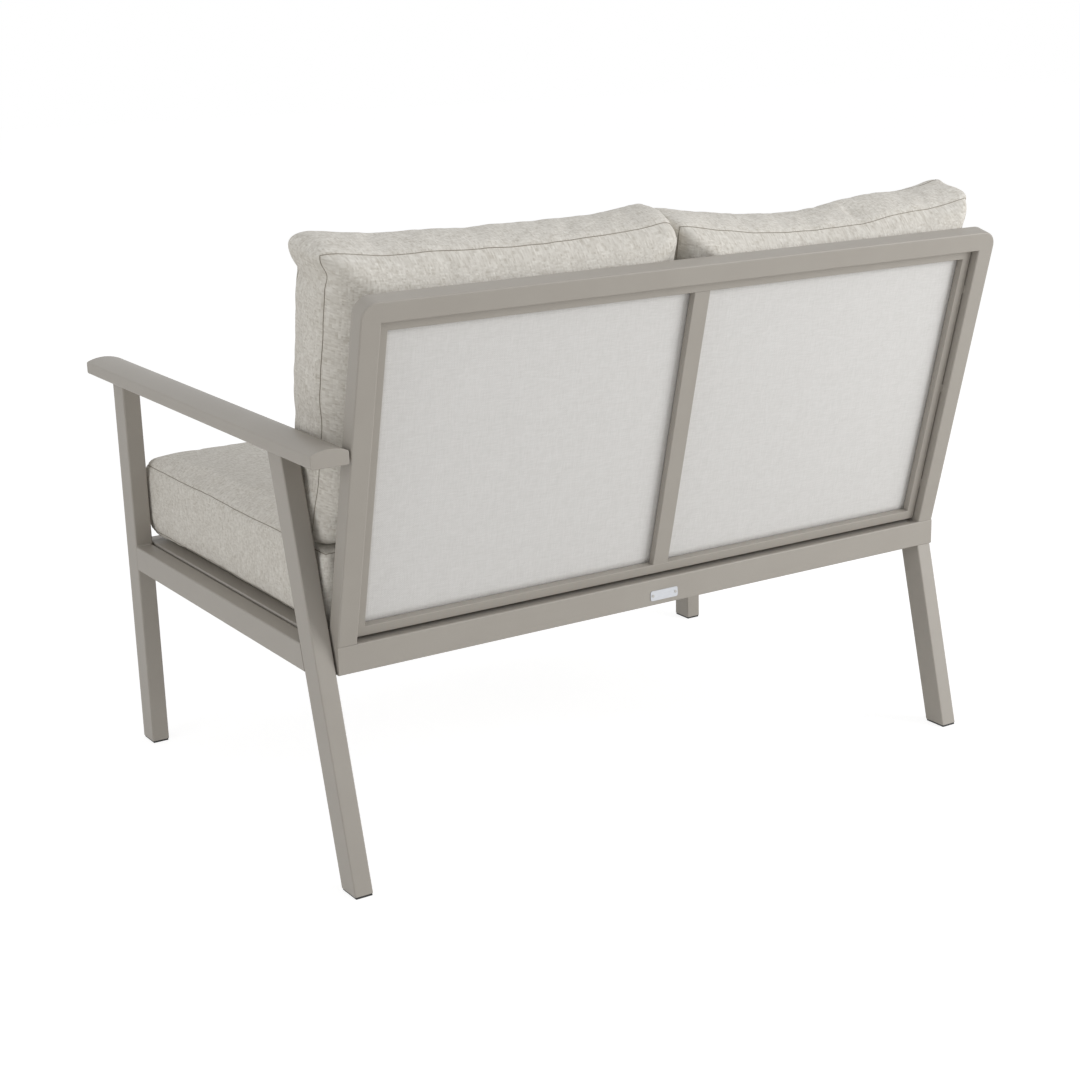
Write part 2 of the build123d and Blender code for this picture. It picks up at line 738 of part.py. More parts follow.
def main():
    """Build every node and write it."""
    os.makedirs("parts", exist_ok=True)
    write("front_leg_arm_side", leg(arm_panel_inner_x, front_y, leg_depth, 0, arm_underside_height))
    write(
        "rear_leg_arm_side",
        leg(arm_panel_inner_x, rear_foot_y, rear_leg_depth, leg_slope, arm_underside_height),
    )
    write("front_leg_open_side", leg(open_leg_x, front_y, leg_depth, 0, side_rail_bottom))
    write(
        "rear_leg_open_side",
        leg(open_leg_x, rear_foot_y, rear_leg_depth, leg_slope, side_rail_bottom),
    )
    write("glide_front_arm_side", glide(arm_panel_inner_x, front_y, leg_depth, 0))
    write("glide_rear_arm_side", glide(arm_panel_inner_x, rear_foot_y, rear_leg_depth, leg_slope))
    write("glide_front_open_side", glide(open_leg_x, front_y, leg_depth, 0))
    write("glide_rear_open_side", glide(open_leg_x, rear_foot_y, rear_leg_depth, leg_slope))
    write("arm_rest", arm_rest())
    write("arm_front_plate", arm_end_plate(False))
    write("arm_rear_plate", arm_end_plate(True))
    write("arm_side_rail", side_rail())
    write("threaded_inserts", threaded_inserts())
    write("joint_washers", joint_washers())
    write("joint_bolts", joint_bolts())
    write("seat_front_rail", seat_front_rail())
    write("seat_rear_rail", seat_rear_rail())
    write("seat_arm_rail", seat_arm_rail())
    write("seat_open_rail", seat_open_rail())
    write("seat_cross_member", seat_cross_member())
    write("seat_ledges", seat_ledges())
    open_stile, arm_stile, top = back_frame_parts()
    write("back_stile_open_side", open_stile)
    write("back_stile_arm_side", arm_stile)
    write("back_top_rail", top)
    panel = back_panel()
    write("back_panel_open_member", panel["side_a"])
    write("back_panel_arm_member", panel["side_b"])
    write("back_panel_top_member", panel["top"])
    write("back_panel_bottom_member", panel["bottom"])
    write("back_panel_mullion", panel["mullion"])
    write("back_sling_open_side", panel["sheet_a"])
    write("back_sling_arm_side", panel["sheet_b"])
    write("back_panel_tabs", back_panel_tabs())
    panel = seat_panel()
    write("seat_panel_arm_member", panel["side_a"])
    write("seat_panel_open_member", panel["side_b"])
    write("seat_panel_front_member", panel["top"])
    write("seat_panel_rear_member", panel["bottom"])
    write("seat_panel_mullion", panel["mullion"])
    write("seat_sling_arm_side", panel["sheet_a"])
    write("seat_sling_open_side", panel["sheet_b"])
    write("name_plate", name_plate())
    write("plate_rivets", plate_rivets())
    for number, word in enumerate(("arm_side", "open_side")):
        cover, core = seat_cushion(number)
        write(f"seat_cushion_cover_{word}", cover)
        write(f"seat_cushion_core_{word}", core)
        cover, core = back_cushion(number)
        write(f"back_cushion_cover_{word}", cover)
        write(f"back_cushion_core_{word}", core)


main()
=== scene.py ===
"""One-arm modular sofa section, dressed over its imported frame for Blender 4.5.

The frame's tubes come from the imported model. This script adds the stretched mesh of the back and the
seat, the four loose cushions with their seams and wrinkles, the weld beads and every surface finish,
then the studio, the lamps and the camera. Lengths are in metres; a name that ends in mm is in
millimetres.
"""

from __future__ import annotations

import json
import logging
import math
from collections.abc import Callable, Iterable, Sequence
from dataclasses import dataclass, field
from enum import Enum

import bpy
from mathutils import Matrix, Vector, noise

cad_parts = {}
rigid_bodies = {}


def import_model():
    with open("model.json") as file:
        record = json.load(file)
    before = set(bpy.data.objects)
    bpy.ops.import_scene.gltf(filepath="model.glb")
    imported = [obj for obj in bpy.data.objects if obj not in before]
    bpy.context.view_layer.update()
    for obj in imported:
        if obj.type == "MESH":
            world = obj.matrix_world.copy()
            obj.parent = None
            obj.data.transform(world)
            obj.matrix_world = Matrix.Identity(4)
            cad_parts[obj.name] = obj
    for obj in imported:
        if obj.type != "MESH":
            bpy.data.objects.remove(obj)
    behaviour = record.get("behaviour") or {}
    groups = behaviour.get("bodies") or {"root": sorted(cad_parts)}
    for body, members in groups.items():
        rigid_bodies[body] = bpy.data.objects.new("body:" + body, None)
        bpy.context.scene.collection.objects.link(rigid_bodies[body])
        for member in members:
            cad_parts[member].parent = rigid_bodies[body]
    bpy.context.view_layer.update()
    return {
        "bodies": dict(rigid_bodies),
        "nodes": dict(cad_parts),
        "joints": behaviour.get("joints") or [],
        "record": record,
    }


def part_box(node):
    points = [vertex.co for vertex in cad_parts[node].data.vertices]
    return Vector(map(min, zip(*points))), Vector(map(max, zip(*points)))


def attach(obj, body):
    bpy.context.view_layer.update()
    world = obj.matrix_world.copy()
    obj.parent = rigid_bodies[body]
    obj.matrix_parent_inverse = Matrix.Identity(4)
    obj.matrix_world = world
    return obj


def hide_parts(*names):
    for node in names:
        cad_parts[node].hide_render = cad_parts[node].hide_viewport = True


LOG = logging.getLogger("sofa")

MM = 0.001
# Distance in the noise between one thread and the next, so that neighbours differ
ROW_SPREAD = 7.31
# The same between one cushion and the next, in millimetres for each unit of its seed
SEED_SPREAD = 311.0
# Seed of the cloth's lumps; without one the noise takes the clock and each run differs
LUMP_SEED = 7
# Where the high panel and the boxing lie on the flat cloth, in metres from the low panel
HIGH_PANEL = 2.0
BOXING_STRIP = 4.0
# Seam weight above which a point is drawn in, and above which it lies on the seam itself
NEAR_SEAM = 0.01
ON_SEAM = 0.99
WHITE = (1.0, 1.0, 1.0, 1.0)

Socket = bpy.types.NodeSocket
NodeOwner = bpy.types.Material | bpy.types.World
Colour = tuple[float, float, float, float]


def linear(hex_colour: str) -> Colour:
    """Turn an sRGB hex colour into linear light.

    Args:
        hex_colour: Six hex digits, such as "a19b93".

    Returns:
        Red, green and blue in linear light, and an alpha of one.
    """
    values = []
    for start in (0, 2, 4):
        v = int(hex_colour[start : start + 2], 16) / 255
        values.append(v / 12.92 if v <= 0.04045 else ((v + 0.055) / 1.055) ** 2.4)
    return (values[0], values[1], values[2], 1.0)


def smooth(low: float, high: float, value: float) -> float:
    """Ease from 0 below low to 1 above high."""
    t = min(max((value - low) / (high - low), 0.0), 1.0)
    return t * t * (3 - 2 * t)


class NodeTree:
    """The nodes of a new material or world, with one small way to add a node."""

    def __init__(self, owner: NodeOwner) -> None:
        """Empty the owner's tree."""
        owner.use_nodes = True
        self.owner = owner
        self.tree = owner.node_tree
        self.tree.nodes.clear()

    def add(
        self,
        kind: str,
        links: dict[str | int, Socket] | None = None,
        values: dict[str | int, object] | None = None,
        **settings: object,
    ) -> bpy.types.Node:
        """Add a node with its settings, fixed values and incoming links.

        Args:
            kind: Blender's node type name without its ShaderNode prefix.
            links: Input socket name or number, and the output socket that feeds it.
            values: Input socket name or number, and its fixed value.
            **settings: Attributes of the node itself.

        Returns:
            The new node.
        """
        node = self.tree.nodes.new("ShaderNode" + kind)
        for key, value in settings.items():
            setattr(node, key, value)
        for key, value in (values or {}).items():
            node.inputs[key].default_value = value
        for key, socket in (links or {}).items():
            self.tree.links.new(socket, node.inputs[key])
        return node

    def finish(self, shader: Socket, output: str = "OutputMaterial") -> NodeOwner:
        """Link a shader to the output and return the material or world."""
        self.add(output, {"Surface": shader})
        return self.owner


def thread_set(
    t: NodeTree, along: Socket, across: Socket, pitch_mm: float, slub_mm: float, detail: float
) -> tuple[Socket, Socket]:
    """Draw one set of side-by-side threads, each shaded along its length in its own way.

    Args:
        t: The material's nodes.
        along: Coordinate along the threads, in metres.
        across: Coordinate across them, in metres.
        pitch_mm: From one thread to the next.
        slub_mm: Length of a darker or lighter stretch.
        detail: Octaves of finer change within it.

    Returns:
        The threads' shade from 0 to 1, and a wave that is 0 between two threads.
    """
    row = t.add("Math", {0: across}, {1: 1 / (pitch_mm * MM)}, operation="MULTIPLY").outputs[0]
    number = t.add("Math", {0: row}, operation="FLOOR").outputs[0]
    run = t.add("Math", {0: along}, {1: 1 / (slub_mm * MM)}, operation="MULTIPLY").outputs[0]
    apart = t.add("Math", {0: number}, {1: ROW_SPREAD}, operation="MULTIPLY").outputs[0]
    place = t.add("CombineXYZ", {"X": run, "Y": apart}).outputs[0]
    shade = t.add("TexNoise", {"Vector": place}, {"Scale": 1.0, "Detail": detail}).outputs["Fac"]
    turn = t.add("Math", {0: row}, {1: math.pi}, operation="MULTIPLY").outputs[0]
    return shade, t.add("Math", {0: turn}, operation="SINE").outputs[0]


@dataclass(frozen=True)
class PowderCoat:
    """Polyester powder coat, sprayed and baked over extruded aluminium tube.

    It gives the eye a dull, even taupe, a very fine orange-peel grain and soft highlights.
    """

    name: str = "polyester_powder_coat"
    colour: str = "aba69e"
    shade: str = "a59f97"
    roughness: tuple[float, float] = (0.40, 0.54)
    grain_mm: float = 1.4
    grain_depth_mm: float = 0.05
    grain_strength: float = 0.35
    mottle_mm: float = 70.0

    def build(self) -> bpy.types.Material:
        """Return the finish as a material."""
        t = NodeTree(bpy.data.materials.new(self.name))
        place = t.add("TexCoord").outputs["Object"]
        grain = t.add(
            "TexNoise",
            {"Vector": place},
            {"Scale": 1 / (self.grain_mm * MM), "Detail": 3.0, "Roughness": 0.6},
        )
        mottle = t.add("TexNoise", {"Vector": place}, {"Scale": 1 / (self.mottle_mm * MM)})
        colour = t.add(
            "Mix",
            {"Factor": mottle.outputs["Fac"]},
            {"A": linear(self.shade), "B": linear(self.colour)},
            data_type="RGBA",
        )
        rough = t.add(
            "MapRange",
            {"Value": grain.outputs["Fac"]},
            {"To Min": self.roughness[0], "To Max": self.roughness[1]},
        )
        bump = t.add(
            "Bump",
            {"Height": grain.outputs["Fac"]},
            {"Strength": self.grain_strength, "Distance": self.grain_depth_mm * MM},
        )
        shader = t.add(
            "BsdfPrincipled",
            {
                "Base Color": colour.outputs["Result"],
                "Roughness": rough.outputs["Result"],
                "Normal": bump.outputs["Normal"],
            },
            {"IOR": 1.5},
        )
        return t.finish(shader.outputs["BSDF"])


@dataclass(frozen=True)
class SlubWeave:
    """Solution-dyed acrylic in a plain weave of slub yarns, woven from pale and grey-brown yarn.

    It gives the eye a heathered pale grey: short darker and lighter dashes along both thread
    directions, and a matt, slightly fuzzy surface. The threads are drawn at about three times their
    real pitch, because the real ones are too fine to show in the picture.
    """

    name: str = "slub_acrylic_weave"
    pale: str = "f2efe8"
    middle: str = "dedad2"
    dark: str = "c4beb3"
    thread_mm: float = 2.3
    slub_length_mm: float = 9.0
    cloud_mm: float = 55.0
    cloud_share: float = 0.08
    drift_mm: float = 3.0
    thread_depth_mm: float = 0.3
    thread_strength: float = 0.5
    # Half the range of the crossing wave over which one thread set takes over from the other
    crossing_half: float = 1.6
    # Where the dark, the middle and the pale yarn lie in the noise
    yarn_steps: tuple[float, float, float] = (0.28, 0.5, 0.72)

    def build(self) -> bpy.types.Material:
        """Return the finish as a material."""
        t = NodeTree(bpy.data.materials.new(self.name))
        sheet = t.add("UVMap", uv_map="weave").outputs["UV"]
        drift = t.add("TexNoise", {"Vector": sheet}, {"Scale": 1 / (self.cloud_mm * MM)})
        shift = t.add(
            "VectorMath",
            {0: drift.outputs["Color"]},
            {1: (self.drift_mm * MM, self.drift_mm * MM, 0.0)},
            operation="MULTIPLY",
        )
        laid = t.add("VectorMath", {0: sheet, 1: shift.outputs[0]}, operation="ADD").outputs[0]
        axes = t.add("SeparateXYZ", {0: laid})
        u, v = axes.outputs["X"], axes.outputs["Y"]
        warp_shade, warp_wave = thread_set(t, v, u, self.thread_mm, self.slub_length_mm, 1.0)
        weft_shade, weft_wave = thread_set(t, u, v, self.thread_mm, self.slub_length_mm, 1.0)
        crossing = t.add("Math", {0: warp_wave, 1: weft_wave}, operation="MULTIPLY").outputs[0]
        over = t.add(
            "MapRange",
            {"Value": crossing},
            {"From Min": -self.crossing_half, "From Max": self.crossing_half},
        )
        shade = t.add(
            "Mix", {0: over.outputs["Result"], 2: warp_shade, 3: weft_shade}, data_type="FLOAT"
        )
        cloud = t.add(
            "TexNoise", {"Vector": sheet}, {"Scale": 1 / (self.cloud_mm * MM), "Detail": 4.0}
        )
        mixed = t.add(
            "Mix",
            {2: shade.outputs[0], 3: cloud.outputs["Fac"]},
            {0: self.cloud_share},
            data_type="FLOAT",
        )
        ramp = t.add("ValToRGB", {"Fac": mixed.outputs[0]})
        stops = ramp.color_ramp.elements
        low, middle, high = self.yarn_steps
        stops[0].position, stops[0].color = low, linear(self.dark)
        stops[1].position, stops[1].color = high, linear(self.pale)
        stops.new(middle).color = linear(self.middle)
        ridge = t.add("Math", {0: warp_wave}, operation="ABSOLUTE").outputs[0]
        furrow = t.add("Math", {0: weft_wave}, operation="ABSOLUTE").outputs[0]
        height = t.add("Mix", {0: over.outputs["Result"], 2: ridge, 3: furrow}, data_type="FLOAT")
        bump = t.add(
            "Bump",
            {"Height": height.outputs[0]},
            {"Strength": self.thread_strength, "Distance": self.thread_depth_mm * MM},
        )
        shader = t.add(
            "BsdfPrincipled",
            {"Base Color": ramp.outputs["Color"], "Normal": bump.outputs["Normal"]},
            {"Roughness": 0.95, "Specular IOR Level": 0.2, "Sheen Weight": 0.1, "Sheen Roughness": 0.6},
        )
        return t.finish(shader.outputs["BSDF"])


@dataclass(frozen=True)
class CoatedMesh:
    """Vinyl-coated polyester yarn in a close plain weave, stretched and heat set.

    It gives the eye a pale, cool grey panel with a faint grid and a few darker yarns. The yarns are
    drawn at about twice their real pitch, because the real ones are too fine to show.
    """

    name: str = "vinyl_coated_polyester_mesh"
    pale: str = "e6e5e4"
    dark: str = "d9d8d6"
    yarn_mm: float = 1.6
    streak_mm: float = 20.0
    yarn_depth_mm: float = 0.15
    yarn_strength: float = 0.3
    # The stretch of the noise that runs from the dark yarn to the pale one
    yarn_steps: tuple[float, float] = (0.3, 0.7)

    def build(self) -> bpy.types.Material:
        """Return the finish as a material."""
        t = NodeTree(bpy.data.materials.new(self.name))
        sheet = t.add("UVMap", uv_map="weave").outputs["UV"]
        axes = t.add("SeparateXYZ", {0: sheet})
        u, v = axes.outputs["X"], axes.outputs["Y"]
        weft_shade, weft_wave = thread_set(t, u, v, self.yarn_mm, self.streak_mm, 2.0)
        warp_shade, warp_wave = thread_set(t, v, u, self.yarn_mm, self.streak_mm, 2.0)
        crossing = t.add("Math", {0: weft_wave, 1: warp_wave}, operation="MULTIPLY").outputs[0]
        shade = t.add("Mix", {2: weft_shade, 3: warp_shade}, {0: 0.5}, data_type="FLOAT").outputs[0]
        low, high = self.yarn_steps
        spread = t.add("MapRange", {"Value": shade}, {"From Min": low, "From Max": high})
        colour = t.add(
            "Mix",
            {"Factor": spread.outputs["Result"]},
            {"A": linear(self.dark), "B": linear(self.pale)},
            data_type="RGBA",
        )
        bump = t.add(
            "Bump",
            {"Height": crossing},
            {"Strength": self.yarn_strength, "Distance": self.yarn_depth_mm * MM},
        )
        shader = t.add(
            "BsdfPrincipled",
            {"Base Color": colour.outputs["Result"], "Normal": bump.outputs["Normal"]},
            {"Roughness": 0.62, "IOR": 1.5, "Specular IOR Level": 0.35},
        )
        return t.finish(shader.outputs["BSDF"])


@dataclass(frozen=True)
class Grained:
    """A finish of one base colour whose life is in its gloss and its fine grain."""

    name: str
    colour: str
    roughness: float
    metallic: float = 0.0
    grain_mm: float = 1.0
    # How many times longer than wide the grain is, along X
    stretch: float = 1.0
    depth_mm: float = 0.02
    strength: float = 0.3
    rough_spread: float = 0.08
    tones: tuple[float, float] = (0.86, 1.08)

    def build(self) -> bpy.types.Material:
        """Return the finish as a material."""
        t = NodeTree(bpy.data.materials.new(self.name))
        place = t.add("TexCoord").outputs["Object"]
        scale = t.add("VectorMath", {0: place}, {1: (1 / self.stretch, 1.0, 1.0)}, operation="MULTIPLY")
        grain = t.add(
            "TexNoise",
            {"Vector": scale.outputs[0]},
            {"Scale": 1 / (self.grain_mm * MM), "Detail": 3.0},
        ).outputs["Fac"]
        rough = t.add(
            "MapRange",
            {"Value": grain},
            {"To Min": self.roughness - self.rough_spread, "To Max": self.roughness + self.rough_spread},
        ).outputs["Result"]
        low, high = self.tones
        tone = t.add("MapRange", {"Value": grain}, {"To Min": low, "To Max": high}).outputs["Result"]
        colour = t.add("VectorMath", {1: tone}, {0: linear(self.colour)[:3]}, operation="MULTIPLY")
        bump = t.add(
            "Bump", {"Height": grain}, {"Strength": self.strength, "Distance": self.depth_mm * MM}
        )
        shader = t.add(
            "BsdfPrincipled",
            {"Base Color": colour.outputs[0], "Roughness": rough, "Normal": bump.outputs["Normal"]},
            {"Metallic": self.metallic},
        )
        return t.finish(shader.outputs["BSDF"])


# Aluminium blank, brushed along its length and clear anodised: a bright, cool, satin face.
SATIN_ANODISED = Grained(
    "satin_anodised_aluminium", "c5c7cb", 0.34, metallic=1.0, grain_mm=0.6, stretch=14.0, depth_mm=0.01
)
# Glass-filled nylon from a mould: near black, with a dull skin.
MOULDED_NYLON = Grained("moulded_black_nylon", "1d1c1b", 0.55, grain_mm=0.8)
# Turned and passivated stainless steel: grey and fairly bright.
TURNED_STEEL = Grained(
    "turned_stainless_steel", "b4b2ae", 0.32, metallic=1.0, grain_mm=0.5, stretch=4.0, depth_mm=0.01
)
# Bonded polyester sewing thread, darkened with painted shadow of the turned-in cloth beside it: a fine dark
# line.
SEAM_THREAD_AND_SHADE = Grained("thread_and_painted_crease_shade", "968e82", 0.85, grain_mm=1.2)


class Finish(Enum):
    """The finishes that the sofa's pieces can take."""

    FRAME = "frame"
    PLATE = "plate"
    NYLON = "nylon"
    STEEL = "steel"
    MESH = "mesh"
    CLOTH = "cloth"
    THREAD = "thread"


class Side(Enum):
    """The sofa's two seats, by what stands at their outer end."""

    ARM = "arm_side"
    OPEN = "open_side"

    @property
    def number(self) -> int:
        """Place of this side's value in a pair of sizes."""
        return list(Side).index(self)


def build_finishes() -> dict[Finish, bpy.types.Material]:
    """Make every finish once.

    Returns:
        The material of each finish.
    """
    return {
        Finish.FRAME: PowderCoat().build(),
        Finish.PLATE: SATIN_ANODISED.build(),
        Finish.NYLON: MOULDED_NYLON.build(),
        Finish.STEEL: TURNED_STEEL.build(),
        Finish.MESH: CoatedMesh().build(),
        Finish.CLOTH: SlubWeave().build(),
        Finish.THREAD: SEAM_THREAD_AND_SHADE.build(),
    }


def mesh_object(
    name: str,
    points: Sequence[Vector],
    faces: Sequence[Sequence[int]],
    material: bpy.types.Material,
    sheet_places: Sequence[Sequence[tuple[float, float]]] | None = None,
) -> bpy.types.Object:
    """Make a smooth-shaded mesh object in the scene.

    Args:
        name: The piece's name.
        points: Its vertices, in metres.
        faces: Its faces, as vertex numbers.
        material: Its finish.
        sheet_places: For each face, the place of each corner on the flat cloth, in metres.

    Returns:
        The new object.
    """
    mesh = bpy.data.meshes.new(name)
    mesh.from_pydata([tuple(p) for p in points], [], faces)
    if sheet_places is not None:
        layer = mesh.uv_layers.new(name="weave")
        flat = [c for face in sheet_places for corner in face for c in corner]
        layer.data.foreach_set("uv", flat)
    mesh.polygons.foreach_set("use_smooth", [True] * len(mesh.polygons))
    mesh.materials.append(material)
    mesh.update()
    obj = bpy.data.objects.new(name, mesh)
    bpy.context.scene.collection.objects.link(obj)
    return obj


@dataclass
class TubeFrame:
    """The welded tube frame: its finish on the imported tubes, and the beads where tubes meet."""

    leg_lean_deg: float = 14.3
    bead_mm: float = 3.0
    bead_inset_mm: float = 2.5
    # Share of its size that a bead reaches into the corner, and that its ripple adds or takes
    bead_sink: float = 0.2
    bead_ripple: float = 0.08
    ripple_turn: float = 2.4
    bead_steps: int = 5
    bead_stations: int = 14
    finishes_by_word: tuple[tuple[str, Finish], ...] = (
        ("glide_", Finish.NYLON),
        ("joint_washers", Finish.NYLON),
        ("joint_bolts", Finish.STEEL),
        ("threaded_inserts", Finish.STEEL),
        ("name_plate", Finish.PLATE),
        ("plate_rivets", Finish.STEEL),
    )

    def dress(self, nodes: dict[str, bpy.types.Object], finishes: dict[Finish, bpy.types.Material]) -> None:
        """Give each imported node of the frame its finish.

        Args:
            nodes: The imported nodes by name.
            finishes: The material of each finish.
        """
        for name, obj in nodes.items():
            if "cushion" in name or "sling" in name:
                continue
            part = Finish.FRAME
            for word, other in self.finishes_by_word:
                if name.startswith(word):
                    part = other
            for place in obj.material_slots:
                place.material = finishes[part]
            LOG.info("finish %s on %s", part.value, name)

    def bead(
        self,
        name: str,
        start: Vector,
        end: Vector,
        sides: tuple[Vector, Vector],
        material: bpy.types.Material,
    ) -> bpy.types.Object:
        """Make one concave weld bead in an inside corner.

        Args:
            name: The bead's name.
            start: One end of the corner line.
            end: Its other end.
            sides: Directions away from the corner along the two faces.
            material: The frame's finish.

        Returns:
            The bead.
        """
        points: list[Vector] = []
        stations = self.bead_stations
        a, b = (s.normalized() * (self.bead_mm * MM) for s in sides)
        sink = -(a + b) * self.bead_sink
        for i in range(stations + 1):
            at = start.lerp(end, i / stations)
            ripple = 1 + self.bead_ripple * math.sin(i * self.ripple_turn)
            points.append(at + sink)
            for k in range(self.bead_steps + 1):
                turn = k / self.bead_steps * math.pi / 2
                curve = a * (1 - math.sin(turn)) + b * (1 - math.cos(turn))
                points.append(at + curve * ripple)
        ring = self.bead_steps + 2
        faces: list[list[int]] = []
        for i in range(stations):
            for k in range(ring):
                n = (k + 1) % ring
                faces.append([i * ring + k, i * ring + n, (i + 1) * ring + n, (i + 1) * ring + k])
        faces.append(list(range(ring))[::-1])
        faces.append([stations * ring + k for k in range(ring)])
        piece = mesh_object(name, points, faces, material)
        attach(piece, "frame")
        return piece

    def weld(self, material: bpy.types.Material) -> list[bpy.types.Object]:
        """Lay the beads of the arm panel, under and over its rail at both legs.

        Args:
            material: The frame's finish.

        Returns:
            The beads.
        """
        rail_low, rail_high = (Vector(c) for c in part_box("arm_side_rail"))
        leg_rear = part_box("front_leg_arm_side")[1][1]
        slope = math.tan(math.radians(self.leg_lean_deg))
        inset = self.bead_inset_mm * MM
        x_near, x_far = rail_low.x + inset, rail_high.x - inset
        beads = []
        for word, z, up in (("under_rail", rail_low.z, -1), ("over_rail", rail_high.z, 1)):
            rear_leg = rail_high.y - slope * (z - rail_low.z)
            corners = (
                ("front", leg_rear, (Vector((0, 0, up)), Vector((0, 1, 0)))),
                ("rear", rear_leg, (Vector((0, -slope * up, up)), Vector((0, -1, 0)))),
            )
            for end, y, sides in corners:
                near, far = Vector((x_near, y, z)), Vector((x_far, y, z))
                beads.append(self.bead(f"weld_{end}_{word}", near, far, sides, material))
        return beads


@dataclass
class SlingBay:
    """One bay of stretched mesh, held in the grooves of its panel.

    It starts at origin and runs along two directions, by size, in metres. Its middle stands off the
    flat by bulge_mm, to the side of across times along.
    """

    node: str
    origin: Vector
    across: Vector
    along: Vector
    size: tuple[float, float]
    bulge_mm: float
    thickness_mm: float = 1.0
    step_mm: float = 16.0

    def build(self, material: bpy.types.Material) -> bpy.types.Object:
        """Args:
            material: The mesh's finish.

        Returns:
            The sheet.
        """
        width, length = self.size
        normal = self.across.cross(self.along).normalized()
        nu = max(4, round(width / (self.step_mm * MM)))
        nv = max(4, round(length / (self.step_mm * MM)))
        half = self.thickness_mm * MM / 2
        points: list[Vector] = []
        for layer in (half, -half):
            for j in range(nv + 1):
                for i in range(nu + 1):
                    s, t = i / nu, j / nv
                    belly = self.bulge_mm * MM * math.sin(math.pi * s) * math.sin(math.pi * t)
                    place = self.origin + self.across * (s * width) + self.along * (t * length)
                    points.append(place + normal * (layer + belly))
        count = (nu + 1) * (nv + 1)
        faces: list[list[int]] = []
        places: list[list[tuple[float, float]]] = []

        def flat(number: int) -> tuple[float, float]:
            """Return a point's place on the flat cloth."""
            number %= count
            return (number % (nu + 1) / nu * width, number // (nu + 1) / nv * length)

        for j in range(nv):
            for i in range(nu):
                a = j * (nu + 1) + i
                quad = [a, a + 1, a + nu + 2, a + nu + 1]
                faces.append(quad)
                faces.append([q + count for q in reversed(quad)])
        rim = list(range(nu)) + [nu + j * (nu + 1) for j in range(nv)]
        rim += [nv * (nu + 1) + i for i in range(nu, 0, -1)] + [j * (nu + 1) for j in range(nv, 0, -1)]
        for k, a in enumerate(rim):
            b = rim[(k + 1) % len(rim)]
            faces.append([b, a, a + count, b + count])
        for face in faces:
            places.append([flat(n) for n in face])
        piece = mesh_object(f"mesh_{self.node}", points, faces, material, places)
        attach(piece, "frame")
        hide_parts(self.node)
        LOG.info("sling %s, %.0f by %.0f mm", self.node, width / MM, length / MM)
        return piece


@dataclass(frozen=True)
class Dent:
    """A soft push on a cushion, in millimetres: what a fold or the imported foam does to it."""

    place: tuple[float, float, float]
    reach: tuple[float, float, float]
    push: tuple[float, float, float]

    def apply(self, p: Vector) -> Vector:
        """Return how far this dent moves a point of the cushion's own frame."""
        d = math.sqrt(sum(((p[k] - self.place[k]) / self.reach[k]) ** 2 for k in range(3)))
        return Vector(self.push) * (1 - smooth(0.0, 1.0, d))


# Arm-side back cushion: the end that swells out over the arm, the ear above it and the notch under
# the ear, the rear seam's bend below its corner, the dip beside the ear, the rise at the inner end.
ARM_CUSHION_DENTS = (
    *(
        Dent((290.0, height, 95.0), (130.0, 80.0, 300.0), (7.0, 0.0, 0.0))
        for height in (370.0, 450.0, 530.0, 610.0)
    ),
    Dent((284.0, 560.0, 125.0), (50.0, 45.0, 90.0), (14.0, 2.0, 4.0)),
    Dent((290.0, 520.0, 120.0), (34.0, 18.0, 70.0), (-7.0, 0.0, 0.0)),
    Dent((276.0, 572.0, 66.0), (40.0, 26.0, 34.0), (11.0, 0.0, 0.0)),
    Dent((280.0, 540.0, 66.0), (26.0, 15.0, 26.0), (-7.0, 0.0, 0.0)),
    Dent((190.0, 575.0, 80.0), (90.0, 60.0, 100.0), (0.0, -5.0, 0.0)),
    Dent((-262.0, 582.0, 60.0), (50.0, 50.0, 70.0), (3.0, 4.0, 0.0)),
)
# Open-side back cushion: a fuller outer half, a fold over its top, a wrinkle across its rear seam,
# and a pinch beside the raised outer corner.
OPEN_CUSHION_DENTS = (
    Dent((-150.0, 560.0, 60.0), (90.0, 60.0, 90.0), (0.0, 6.0, 0.0)),
    Dent((-30.0, 560.0, 130.0), (11.0, 25.0, 45.0), (0.0, -6.0, 0.0)),
    Dent((-72.0, 552.0, 76.0), (11.0, 30.0, 40.0), (0.0, -5.0, 3.0)),
    Dent((-268.0, 575.0, 150.0), (12.0, 20.0, 30.0), (0.0, -6.0, 0.0)),
    Dent((-296.0, 575.0, 150.0), (50.0, 45.0, 60.0), (-11.0, 12.0, 0.0)),
    Dent((-110.0, 555.0, 126.0), (130.0, 60.0, 60.0), (0.0, 9.0, 0.0)),
    Dent((-285.0, 535.0, 35.0), (60.0, 60.0, 45.0), (10.0, -3.0, 6.0)),
    Dent((-300.0, 572.0, 70.0), (40.0, 40.0, 50.0), (-11.0, 3.0, 0.0)),
)


@dataclass(frozen=True)
class Filling:
    """How the foam fills a cover and how the cover's cloth takes it, in the cloth solver's units."""

    quality: int = 5
    cloth_mass: float = 0.3
    stretch: float = 25.0
    shear: float = 8.0
    bending: float = 0.6
    pressure: float = 4.0
    # Share by which the panels are cut larger than the foam
    spare_cloth: float = 0.008
    frames: int = 20
    # The furthest that a point can move from where it was sewn, in millimetres
    cap: float = 22.0


